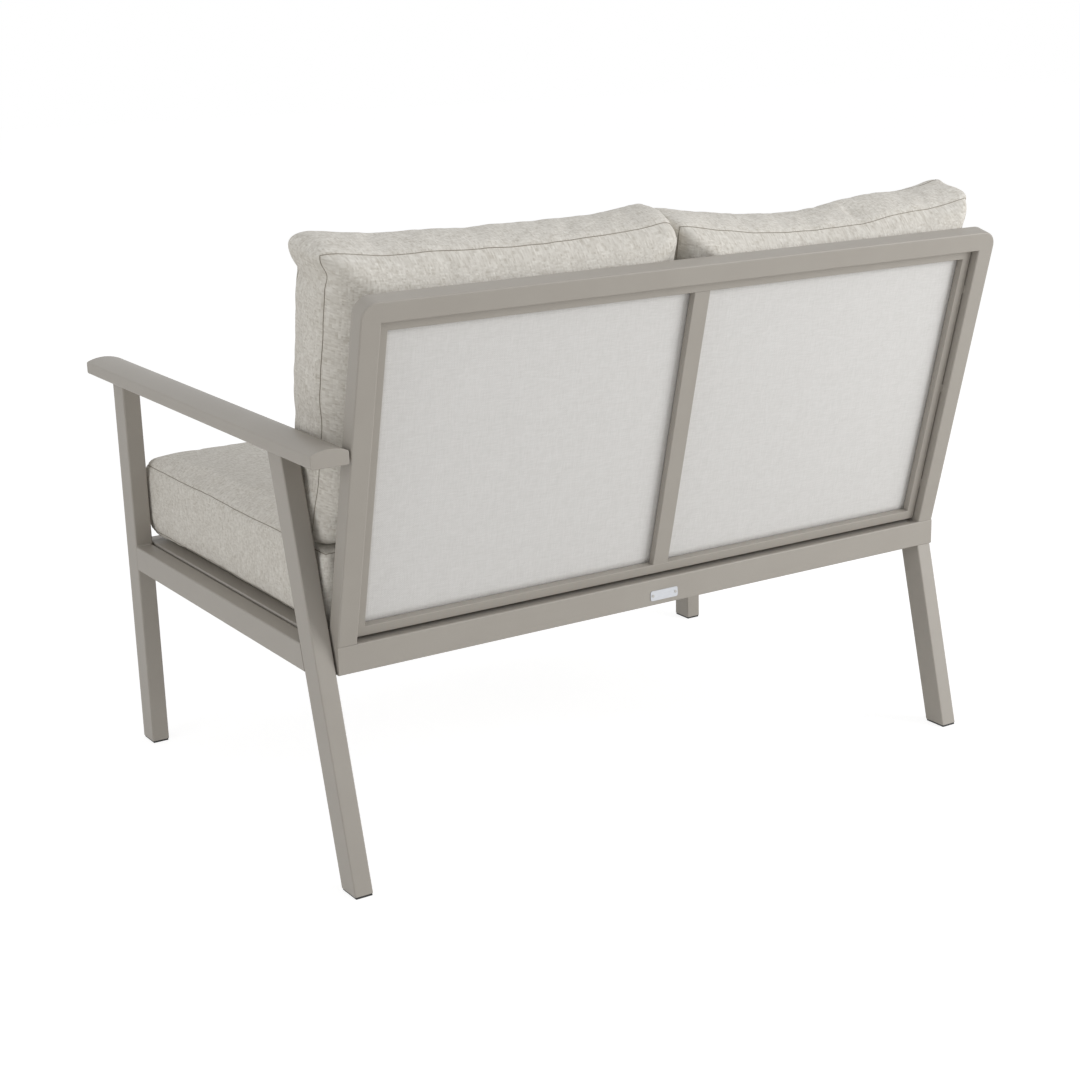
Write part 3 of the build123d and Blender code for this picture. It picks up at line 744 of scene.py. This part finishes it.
@dataclass
class BoxedCushion:
    """A boxed cushion: two panels and a strip between them, sewn inside out and filled with foam.

    Its own frame has X across, Y from its front or low end to its far end, and Z from the lower or
    rear panel to the upper or front one. Sizes are in millimetres. The ends are the places of the
    low and the far end, where slope moves the low one for each unit of Z. The draws are how far the
    outline is drawn in at the middle of its two sides, its low end and its far end. A crown rises
    from its seam over its run. The slide moves Y and Z for each unit of X.
    """

    name: str
    body: str
    nodes: tuple[str, ...]
    place: Matrix
    width: float
    ends: tuple[float, float]
    slope: float
    draws: tuple[float, float, float]
    low_crown: float
    low_run: float
    boxing: float
    high_crown: float
    high_run: float
    slide: tuple[float, float] = (0.0, 0.0)
    corner: float = 30.0
    bulge: float = 3.0
    step: float = 8.0
    # Power by which the crown's run goes over from one side to the next at a corner
    corner_blend: int = 8
    seam_sink: float = 1.8
    thread_radius: float = 0.6
    thread_rise: float = 0.2
    foam_share: float = 0.75
    filling: Filling = Filling()
    # Wavelength and height of the loose cloth's lumps
    lumps: tuple[tuple[float, float], ...] = ((150.0, 3.0), (42.0, 1.3))
    seed: float = 0.0
    dents: tuple[Dent, ...] = ()
    keep_clear: Callable[[Vector], Vector] | None = None

    def outline(self, ring: float, side: int, share: float, grow: float, z: float) -> Vector:
        """Find a point of the outline at one level.

        Args:
            ring: 1 on the outline, down to 0 at the middle.
            side: 0 for +X, 1 for +Y, 2 for -X, 3 for -Y.
            share: Place along that side, from -1 to 1, turning the same way round on every side.
            grow: How far the outline stands outside the seam.
            z: Level, which moves the low end of a leaning cushion.

        Returns:
            The point, in millimetres.
        """
        low = self.ends[0] - self.slope * z
        high = self.ends[1]
        a = self.width / 2 + grow
        b = (high - low) / 2 + grow
        r = self.corner + grow
        reach = a if side in (1, 3) else b
        depth = b if side in (1, 3) else a
        draw = {0: self.draws[0], 2: self.draws[0], 1: self.draws[2], 3: self.draws[1]}[side]
        flat = reach - r
        s = share * (flat + r * math.pi / 4)
        if abs(s) <= flat:
            u, v = depth - draw * (1 - (s / flat) ** 2), s
        else:
            turn = (abs(s) - flat) / r
            u = depth - r + r * math.cos(turn)
            v = math.copysign(flat + r * math.sin(turn), s)
        x, y = ((u, v), (-v, u), (-u, -v), (v, -u))[side]
        return Vector((x * ring, y * ring + (low + high) / 2, 0.0))

    def surface_point(self, i: int, j: int, k: int, counts: tuple[int, int, int]) -> Vector:
        """Find the sewn, unfilled cushion's point for one place of its grid.

        Args:
            i: Grid place along X.
            j: Grid place along Y.
            k: Grid place through the boxing, 0 on the low seam.
            counts: Cells along X, Y and the boxing.

        Returns:
            The point, in millimetres.
        """
        nx, ny, nz = counts
        u, v = 2 * i / nx - 1, 2 * j / ny - 1
        ring = max(abs(u), abs(v))
        if ring == 0:
            side, share = 0, 0.0
        elif abs(u) >= abs(v):
            side, share = (0, v / ring) if u > 0 else (2, -v / ring)
        else:
            side, share = (1, -u / ring) if v > 0 else (3, u / ring)
        through = k / nz
        level = self.low_crown + self.boxing * through
        grow = self.bulge * math.sin(math.pi * through) if ring == 1 else 0.0
        p = self.outline(ring, side, share, grow, level)
        power_u, power_v = abs(u) ** self.corner_blend, abs(v) ** self.corner_blend
        weight = power_u / (power_u + power_v) if ring else 0.5
        half_y = (self.ends[1] - self.ends[0]) / 2
        inward = (1 - ring) * (self.width / 2 * weight + half_y * (1 - weight))
        if k == 0 and ring < 1:
            level -= self.low_crown * self.dome(inward / self.low_run)
        elif k == nz and ring < 1:
            level += self.high_crown * self.dome(inward / self.high_run)
        return Vector((p.x, p.y + self.slide[0] * p.x, level + self.slide[1] * p.x))

    @staticmethod
    def dome(t: float) -> float:
        """Rise of a crown, a quarter ellipse from 0 at its seam to 1 at the end of its run."""
        return math.sqrt(1 - (1 - min(t, 1.0)) ** 2)

    def grid(
        self,
    ) -> tuple[list[Vector], list[list[int]], list[list[tuple[float, float]]], list[list[int]]]:
        """Lay a grid of square cells over the two panels and the boxing.

        Returns:
            The points, the faces, each face's places on the flat cloth, and the two seams' points.
        """
        nx = 2 * round(self.width / self.step / 2)
        ny = 2 * round((self.ends[1] - self.ends[0]) / self.step / 2)
        nz = round(self.boxing / self.step)
        counts = (nx, ny, nz)
        numbers: dict[tuple[int, int, int], int] = {}
        points: list[Vector] = []
        faces: list[list[int]] = []
        places: list[list[tuple[float, float]]] = []

        def number(i: int, j: int, k: int) -> int:
            """Return the number of a grid place, making its point once."""
            key = (i, j, k)
            if key not in numbers:
                numbers[key] = len(points)
                points.append(self.surface_point(i, j, k, counts))
            return numbers[key]

        cell = self.step * MM
        for k, far in ((0, 0.0), (nz, HIGH_PANEL)):
            for j in range(ny):
                for i in range(nx):
                    cells = [(i, j), (i + 1, j), (i + 1, j + 1), (i, j + 1)]
                    if k == 0:
                        cells.reverse()
                    faces.append([number(a, b, k) for a, b in cells])
                    places.append([(a * cell + far + self.seed, b * cell) for a, b in cells])
        walk = [(i, 0) for i in range(nx)] + [(nx, j) for j in range(ny)]
        walk += [(i, ny) for i in range(nx, 0, -1)] + [(0, j) for j in range(ny, 0, -1)]
        for n, (i, j) in enumerate(walk):
            i2, j2 = walk[(n + 1) % len(walk)]
            for k in range(nz):
                cells = [(i, j, k), (i2, j2, k), (i2, j2, k + 1), (i, j, k + 1)]
                faces.append([number(*cell_corner) for cell_corner in cells])
                low, high = BOXING_STRIP + k * cell, BOXING_STRIP + (k + 1) * cell
                left, right = n * cell + self.seed, (n + 1) * cell + self.seed
                places.append([(left, low), (right, low), (right, high), (left, high)])
        seams = [[number(i, j, k) for i, j in walk] for k in (0, nz)]
        return points, faces, places, seams

    def fill(self, obj: bpy.types.Object, start: Sequence[Vector]) -> list[Vector]:
        """Blow the cover up against its own cloth, as the foam does, and read where it settles.

        Args:
            obj: The cover, with its points in metres, in the cushion's own frame.
            start: The cover's points before, in millimetres.

        Returns:
            The filled cover's points, in millimetres, none further than the cap from its start.
        """
        filling = self.filling
        cloth = obj.modifiers.new("fill", "CLOTH")
        settings = cloth.settings
        settings.quality = filling.quality
        settings.mass = filling.cloth_mass
        settings.tension_stiffness = filling.stretch
        settings.compression_stiffness = filling.stretch
        settings.shear_stiffness = filling.shear
        settings.bending_stiffness = filling.bending
        settings.use_pressure = True
        settings.uniform_pressure_force = filling.pressure
        settings.effector_weights.gravity = 0.0
        settings.vertex_group_mass = "seam"
        settings.vertex_group_shrink = "seam"
        settings.shrink_min = -filling.spare_cloth
        settings.shrink_max = 0.0
        cloth.collision_settings.use_collision = False
        cloth.point_cache.frame_start = 1
        cloth.point_cache.frame_end = filling.frames
        scene = bpy.context.scene
        for frame in range(1, filling.frames + 1):
            scene.frame_set(frame)
        graph = bpy.context.evaluated_depsgraph_get()
        filled = obj.evaluated_get(graph).to_mesh()
        moved = [Vector(v.co) / MM for v in filled.vertices]
        obj.evaluated_get(graph).to_mesh_clear()
        obj.modifiers.remove(cloth)
        scene.frame_set(1)
        capped = []
        for before, after in zip(start, moved):
            step = after - before
            if step.length > 0:
                step *= filling.cap * math.tanh(step.length / filling.cap) / step.length
            capped.append(before + step)
        return capped

    def build(self, finishes: dict[Finish, bpy.types.Material]) -> bpy.types.Object:
        """Sew, fill and place the cushion, with its two seams.

        Args:
            finishes: The material of each finish.

        Returns:
            The cushion.
        """
        points, faces, places, seams = self.grid()
        points = [self.settle(p) for p in points]
        obj = mesh_object(self.name, [p * MM for p in points], faces, finishes[Finish.CLOTH], places)
        group = obj.vertex_groups.new(name="seam")
        group.add([n for seam in seams for n in seam], 1.0, "REPLACE")
        points = self.fill(obj, points)
        for vertex, p in zip(obj.data.vertices, points):
            vertex.co = p * MM
        self.subdivide(obj)
        self.crease(obj)
        obj.data.transform(self.place)
        if self.keep_clear is not None:
            for vertex in obj.data.vertices:
                vertex.co = self.keep_clear(Vector(vertex.co))
        obj.data.update()
        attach(obj, self.body)
        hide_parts(*self.nodes)
        # Each seam's thread has painted shadow of its crease in its colour
        for word, loop in zip(("low", "high"), self.seam_loops(obj)):
            self.stitch(obj, f"{self.name}_{word}_seam", loop, finishes[Finish.THREAD])
        LOG.info("cushion %s, %d points", self.name, len(obj.data.vertices))
        return obj

    def settle(self, p: Vector) -> Vector:
        """Move a point as the dents and the loose cloth do, before the cover is filled.

        Args:
            p: A point of the sewn cover, in millimetres.

        Returns:
            The moved point.
        """
        q = Vector(p)
        for dent in self.dents:
            q += dent.apply(p)
        away = p + Vector((self.seed * SEED_SPREAD, 0, 0))
        for wavelength, height in self.lumps:
            q += noise.noise_vector(away / wavelength) * height
        return q

    def subdivide(self, obj: bpy.types.Object) -> None:
        """Apply one level of subdivision to the cover, keeping its groups and cloth places."""
        obj.modifiers.new("round", "SUBSURF").levels = 1
        graph = bpy.context.evaluated_depsgraph_get()
        mesh = bpy.data.meshes.new_from_object(
            obj.evaluated_get(graph), preserve_all_data_layers=True, depsgraph=graph
        )
        obj.modifiers.clear()
        obj.data = mesh
        mesh.polygons.foreach_set("use_smooth", [True] * len(mesh.polygons))

    def crease(self, obj: bpy.types.Object) -> None:
        """Sink each seam of the subdivided cover into it."""
        group = obj.vertex_groups["seam"].index
        mesh = obj.data
        normals = [Vector(v.normal) for v in mesh.vertices]
        for vertex, normal in zip(mesh.vertices, normals):
            weight = 0.0
            for element in vertex.groups:
                if element.group == group:
                    weight = element.weight
            if weight > NEAR_SEAM:
                vertex.co -= normal * (self.seam_sink * MM * weight * weight)
        mesh.update()

    def seam_loops(self, cover: bpy.types.Object) -> list[list[int]]:
        """Follow the cover's two seams from point to point, the low one first.

        Args:
            cover: The finished cover.

        Returns:
            The points of each seam, in order.
        """
        mesh = cover.data
        group = cover.vertex_groups["seam"].index
        left = set()
        for vertex in mesh.vertices:
            for element in vertex.groups:
                if element.group == group and element.weight > ON_SEAM:
                    left.add(vertex.index)
        links: dict[int, list[int]] = {n: [] for n in left}
        for edge in mesh.edges:
            a, b = edge.vertices
            if a in left and b in left:
                links[a].append(b)
                links[b].append(a)
        loops: list[list[int]] = []
        while left:
            loop = [min(left)]
            left.discard(loop[0])
            while onward := [n for n in links[loop[-1]] if n in left]:
                loop.append(onward[0])
                left.discard(onward[0])
            loops.append(loop)
        across = self.place.inverted()
        loops.sort(key=lambda loop: sum((across @ mesh.vertices[n].co).z for n in loop) / len(loop))
        return loops

    def stitch(
        self, cover: bpy.types.Object, name: str, loop: Sequence[int], material: bpy.types.Material
    ) -> bpy.types.Object:
        """Run a seam's thread along the cover's crease.

        Args:
            cover: The finished cover.
            name: The thread's name.
            loop: The seam's points, in order.
            material: The thread's finish.

        Returns:
            The thread, as a curve that goes with the cover.
        """
        curve = bpy.data.curves.new(name, "CURVE")
        curve.dimensions = "3D"
        curve.bevel_depth = self.thread_radius * MM
        curve.bevel_resolution = 1
        spline = curve.splines.new("POLY")
        spline.points.add(len(loop) - 1)
        for point, n in zip(spline.points, loop):
            vertex = cover.data.vertices[n]
            place = vertex.co + vertex.normal * (self.thread_rise * MM)
            point.co = (place.x, place.y, place.z, 1.0)
        spline.use_cyclic_u = True
        curve.materials.append(material)
        piece = bpy.data.objects.new(name, curve)
        bpy.context.scene.collection.objects.link(piece)
        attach(piece, self.body)
        return piece


@dataclass
class Lounge:
    """The four loose cushions, the slings below and behind them, and where they rest.

    Sizes are in millimetres. A cushion's size is its low crown, its boxing and its high crown, and
    its runs are the widths over which the two crowns rise. A pair with one value for each seat has
    the arm's side first.
    """

    lean_deg: float = 14.5
    rail_top: float = 364.0
    tube_depth: float = 30.0
    # Clearance of a resting cushion, and of a cover's start from its packed box
    rest: float = 0.3
    slack: float = 3.0
    # How far the slings' middles belly towards the floor or the rear
    seat_belly: float = 4.0
    back_belly: float = 1.5
    seat_size: tuple[float, float, float] = (16.0, 117.0, 20.0)
    seat_runs: tuple[float, float] = (55.0, 45.0)
    seat_corner: float = 12.0
    seat_draws: tuple[float, float, float] = (2.0, 2.0, 4.0)
    seat_bulge: float = 5.0
    seat_seeds: tuple[float, float] = (0.37, 0.81)
    # Fall of the seat's crown towards the rear, and the places between which the crown falls and
    # between which the back cushion comes to cover it
    sag: float = 18.0
    sag_from: tuple[float, float] = (200.0, 285.0)
    covered_from: tuple[float, float] = (130.0, 185.0)
    back_size: tuple[float, float, float] = (46.0, 80.0, 52.0)
    back_runs: tuple[float, float] = (62.0, 150.0)
    back_side_draw: float = 4.0
    back_seeds: tuple[float, float] = (1.31, 1.79)
    # Each back cushion's rise along the back, draw of its top, sink into the seat, and seam corner
    back_rises: tuple[float, float] = (584.6, 575.6)
    back_draws: tuple[float, float] = (15.0, 27.0)
    back_sinks: tuple[float, float] = (3.3, 5.8)
    back_corners: tuple[float, float] = (18.0, 9.0)
    # How far the arm-side back cushion's outer end stands forward of its inner end
    arm_slide: float = 38.0
    # How far it can swell over the arm, and the heights above the arm between which it starts to
    over_arm: float = 22.0
    over_arm_from: tuple[float, float] = (8.0, 38.0)
    # How far the open-side back cushion can swell past its packed end
    open_end: float = 4.0

    def back_place(self) -> Matrix:
        """Return the back's own frame, on the rear rail: X across, Y up the slope, Z forward."""
        lean = math.radians(self.lean_deg)
        rail_low, rail_high = (Vector(c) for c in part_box("seat_rear_rail"))
        origin = Vector(((rail_low.x + rail_high.x) / 2, rail_high.y, self.rail_top * MM))
        across = Vector((1, 0, 0))
        up = Vector((0, math.sin(lean), math.cos(lean)))
        forward = Vector((0, -math.cos(lean), math.sin(lean)))
        return Matrix.Translation(origin) @ Matrix((across, up, forward)).transposed().to_4x4()

    def contact(self, side: Side, y: float) -> float:
        """Find how high a back cushion and the seat cushion below it meet.

        Args:
            side: The seat that they belong to.
            y: Place from front to rear, in millimetres.

        Returns:
            The height, in millimetres. It falls towards the rear, where the seat's crown ends.
        """
        sink = self.back_sinks[side.number] * math.cos(math.radians(self.lean_deg))
        flat = self.rail_top + 2 * self.rest + sum(self.seat_size) - sink
        return flat - self.sag * smooth(*self.sag_from, y)

    def seat_cushion(self, side: Side) -> BoxedCushion:
        """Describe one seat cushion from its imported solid's box."""
        low, high = (Vector(c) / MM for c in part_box(f"seat_cushion_cover_{side.value}"))
        floor = self.rail_top + self.rest
        low_x, high_x = low.x * MM, high.x * MM

        def keep_clear(p: Vector) -> Vector:
            """Hold the cover off its neighbours, the rails and the back cushion."""
            covered = smooth(*self.covered_from, p.y / MM)
            roof = high.z + (self.contact(side, p.y / MM) - self.rest - high.z) * covered
            return Vector((min(max(p.x, low_x), high_x), p.y, min(max(p.z, floor * MM), roof * MM)))

        return BoxedCushion(
            name=f"seat_cushion_{side.value}",
            body=f"seat_cushion_{side.value}",
            nodes=(f"seat_cushion_cover_{side.value}", f"seat_cushion_core_{side.value}"),
            place=Matrix.Translation(Vector(((low.x + high.x) / 2, 0, floor)) * MM),
            width=high.x - low.x - 2 * self.slack,
            ends=(low.y, high.y - self.slack),
            slope=0.0,
            draws=self.seat_draws,
            low_crown=self.seat_size[0],
            low_run=self.seat_runs[0],
            boxing=self.seat_size[1],
            high_crown=self.seat_size[2] - self.slack,
            high_run=self.seat_runs[1],
            corner=self.seat_corner,
            bulge=self.seat_bulge,
            seed=self.seat_seeds[side.number],
            keep_clear=keep_clear,
        )

    def back_cushion(self, side: Side) -> BoxedCushion:
        """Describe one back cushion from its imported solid's box."""
        low, high = (Vector(c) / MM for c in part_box(f"back_cushion_cover_{side.value}"))
        place = self.back_place()
        lean = math.radians(self.lean_deg)
        stand_off = self.tube_depth + self.rest
        seat_top = self.rest + sum(self.seat_size) + self.rest
        low_end = (seat_top - stand_off * math.sin(lean)) / math.cos(lean)
        low_end -= self.back_sinks[side.number] + self.sag
        width = high.x - low.x
        forward = self.arm_slide if side is Side.ARM else 0.0
        slide = (-forward / width * math.sin(lean), forward / width * math.cos(lean))
        shift = (low.x + high.x) / 2 - place.translation.x / MM
        middle = Vector((shift, slide[0] * width / 2, stand_off + slide[1] * width / 2))
        place = place @ Matrix.Translation(middle * MM)
        away = place.inverted()
        frame_face = -slide[1] * width / 2 * MM
        past_low = self.open_end if side is Side.OPEN else 0.0
        past_high = self.over_arm * MM if side is Side.ARM else 0.0
        low_x, high_x = (low.x - past_low) * MM, high.x * MM
        arm_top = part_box("arm_rest")[1][2]
        swell_from, swell_to = (arm_top + height * MM for height in self.over_arm_from)

        def keep_clear(p: Vector) -> Vector:
            """Hold the cover off its neighbours, the frame behind it and the seat below it."""
            side_x = high_x + past_high * smooth(swell_from, swell_to, p.z)
            floor = self.contact(side, p.y / MM) * MM
            q = Vector((min(max(p.x, low_x), side_x), p.y, max(p.z, floor)))
            local = away @ q
            if local.z < frame_face:
                local.z = frame_face
                q = place @ local
            return q

        return BoxedCushion(
            name=f"back_cushion_{side.value}",
            body=f"back_cushion_{side.value}",
            nodes=(f"back_cushion_cover_{side.value}", f"back_cushion_core_{side.value}"),
            place=place,
            width=width - self.slack,
            ends=(low_end + self.slack, self.back_rises[side.number] - self.slack),
            slope=math.tan(lean),
            draws=(self.back_side_draw, 0.0, self.back_draws[side.number]),
            low_crown=self.back_size[0],
            low_run=self.back_runs[0],
            boxing=self.back_size[1],
            high_crown=self.back_size[2] - 2 * self.slack,
            high_run=self.back_runs[1],
            slide=slide,
            corner=self.back_corners[side.number],
            dents=ARM_CUSHION_DENTS if side is Side.ARM else OPEN_CUSHION_DENTS,
            seed=self.back_seeds[side.number],
            keep_clear=keep_clear,
        )

    def back_sling(self, side: Side) -> SlingBay:
        """Describe one bay of the back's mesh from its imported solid's box."""
        node = f"back_sling_{side.value}"
        low, high = (Vector(c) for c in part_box(node))
        across, up, forward = self.back_place().to_3x3().transposed()
        thick = SlingBay.thickness_mm * MM
        length = (high.z - low.z - thick * abs(forward.z)) / up.z
        rear_low = high.y - up.y * length - thick * abs(forward.y) / 2
        origin = Vector((low.x, rear_low, low.z + thick * forward.z / 2))
        return SlingBay(node, origin, across, up, (high.x - low.x, length), -self.back_belly)

    def seat_sling(self, side: Side) -> SlingBay:
        """Describe one bay of the seat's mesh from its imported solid's box."""
        node = f"seat_sling_{side.value}"
        low, high = (Vector(c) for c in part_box(node))
        origin = Vector((low.x, low.y, (low.z + high.z) / 2))
        size = (high.x - low.x, high.y - low.y)
        return SlingBay(node, origin, Vector((1, 0, 0)), Vector((0, 1, 0)), size, -self.seat_belly)

    def build(self, finishes: dict[Finish, bpy.types.Material]) -> None:
        """Make the slings and the cushions.

        Args:
            finishes: The material of each finish.
        """
        for side in Side:
            self.back_sling(side).build(finishes[Finish.MESH])
            self.seat_sling(side).build(finishes[Finish.MESH])
        for side in Side:
            self.seat_cushion(side).build(finishes)
            self.back_cushion(side).build(finishes)


@dataclass(frozen=True)
class SoftLamp:
    """A square soft lamp: its place and its side in metres, and its power in watts."""

    name: str
    place: tuple[float, float, float]
    side: float
    power: float

    def hang(self, aim: Vector) -> bpy.types.Object:
        """Hang the lamp, turned to the aim, and return it."""
        light = bpy.data.lights.new(self.name, "AREA")
        light.shape = "SQUARE"
        light.size = self.side
        light.energy = self.power
        obj = bpy.data.objects.new(self.name, light)
        obj.location = self.place
        obj.rotation_euler = (aim - Vector(self.place)).to_track_quat("-Z", "Y").to_euler()
        bpy.context.scene.collection.objects.link(obj)
        return obj


@dataclass
class Studio:
    """The white room: floor, surrounding light, three soft lamps and the camera."""

    camera_place: Vector = field(default_factory=lambda: Vector((1.7836, 2.8821, 1.3290)))
    yaw_deg: float = 35.19
    pitch_deg: float = 17.01
    roll_deg: float = -0.55
    lens_mm: float = 67.78
    sensor_mm: float = 36.0
    shift: tuple[float, float] = (-0.1111, 0.0324)
    sight: float = 100.0
    room_light: float = 0.46
    floor_half: float = 14.0
    floor_paint: str = "e4e2de"
    # What the camera sees of the floor: its own glow, and a faint grey that keeps the shadow
    floor_glow: float = 0.84
    floor_faint: str = "a0a0a0"
    lamp_aim: tuple[float, float, float] = (0.0, 0.0, 0.45)
    # A key lamp behind the sofa on its open side, a weaker one on the arm's side, one overhead
    lamps: tuple[SoftLamp, ...] = (
        SoftLamp("key_lamp", (-3.2, 3.4, 1.8), 2.4, 108.0),
        SoftLamp("fill_lamp", (4.4, 1.0, 1.5), 2.4, 34.0),
        SoftLamp("top_lamp", (0.0, 0.0, 4.2), 3.0, 17.0),
    )

    def white_to_camera(self, t: NodeTree) -> Socket:
        """Return a factor that is 1 for rays from the camera and for those seen in gloss or glass."""
        rays = t.add("LightPath")
        seen = rays.outputs["Is Camera Ray"]
        for kind in ("Is Glossy Ray", "Is Transmission Ray"):
            seen = t.add("Math", {0: seen, 1: rays.outputs[kind]}, operation="MAXIMUM").outputs[0]
        return seen

    def floor(self) -> bpy.types.Object:
        """Lay a white floor that keeps the sofa's soft shadow."""
        t = NodeTree(bpy.data.materials.new("white_studio_floor"))
        paint = t.add("BsdfDiffuse", values={"Color": linear(self.floor_paint)})
        faint = t.add("BsdfDiffuse", values={"Color": linear(self.floor_faint)})
        glow = t.add("Emission", values={"Color": WHITE, "Strength": self.floor_glow})
        lit = t.add("AddShader", {0: faint.outputs[0], 1: glow.outputs[0]})
        both = t.add(
            "MixShader", {0: self.white_to_camera(t), 1: paint.outputs[0], 2: lit.outputs[0]}
        )
        material = t.finish(both.outputs[0])
        h = self.floor_half
        corners = [Vector(c) for c in ((-h, -h, 0), (h, -h, 0), (h, h, 0), (-h, h, 0))]
        ground = mesh_object("studio_floor", corners, [[0, 1, 2, 3]], material)
        return ground

    def surround(self) -> None:
        """Light the room evenly and show it as plain white."""
        t = NodeTree(bpy.data.worlds.new("white_room"))
        room = t.add("Background", values={"Color": WHITE, "Strength": self.room_light})
        shown = t.add("Background", values={"Color": WHITE, "Strength": 1.0})
        both = t.add(
            "MixShader", {0: self.white_to_camera(t), 1: room.outputs[0], 2: shown.outputs[0]}
        )
        bpy.context.scene.world = t.finish(both.outputs[0], "OutputWorld")

    def camera(self) -> bpy.types.Object:
        """Set the camera where the photograph was taken from."""
        yaw, pitch, roll = (math.radians(a) for a in (self.yaw_deg, self.pitch_deg, self.roll_deg))
        ahead = Vector(
            (-math.sin(yaw) * math.cos(pitch), -math.cos(yaw) * math.cos(pitch), -math.sin(pitch))
        )
        level = ahead.cross(Vector((0, 0, 1))).normalized()
        upright = level.cross(ahead)
        right = math.cos(roll) * level + math.sin(roll) * upright
        up = -math.sin(roll) * level + math.cos(roll) * upright
        lens = bpy.data.cameras.new("photograph_camera")
        lens.sensor_width = self.sensor_mm
        lens.lens = self.lens_mm
        lens.shift_x, lens.shift_y = self.shift
        lens.clip_end = self.sight
        obj = bpy.data.objects.new("photograph_camera", lens)
        basis = Matrix((right, up, -ahead)).transposed().to_4x4()
        obj.matrix_world = Matrix.Translation(self.camera_place) @ basis
        bpy.context.scene.collection.objects.link(obj)
        bpy.context.scene.camera = obj
        return obj

    def build(self) -> None:
        """Make the room, its lamps and its camera."""
        self.floor()
        self.surround()
        for lamp in self.lamps:
            lamp.hang(Vector(self.lamp_aim))
        self.camera()
        bpy.context.scene.view_settings.view_transform = "Standard"
        LOG.info("studio ready")


def main() -> None:
    """Build every sub-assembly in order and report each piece."""
    logging.basicConfig(level=logging.INFO, format="%(message)s")
    noise.seed_set(LUMP_SEED)
    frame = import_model()
    finishes = build_finishes()
    Studio().build()
    tubes = TubeFrame()
    tubes.dress(frame["nodes"], finishes)
    for bead in tubes.weld(finishes[Finish.FRAME]):
        LOG.info("weld bead %s", bead.name)
    Lounge().build(finishes)


if __name__ == "__main__":
    main()
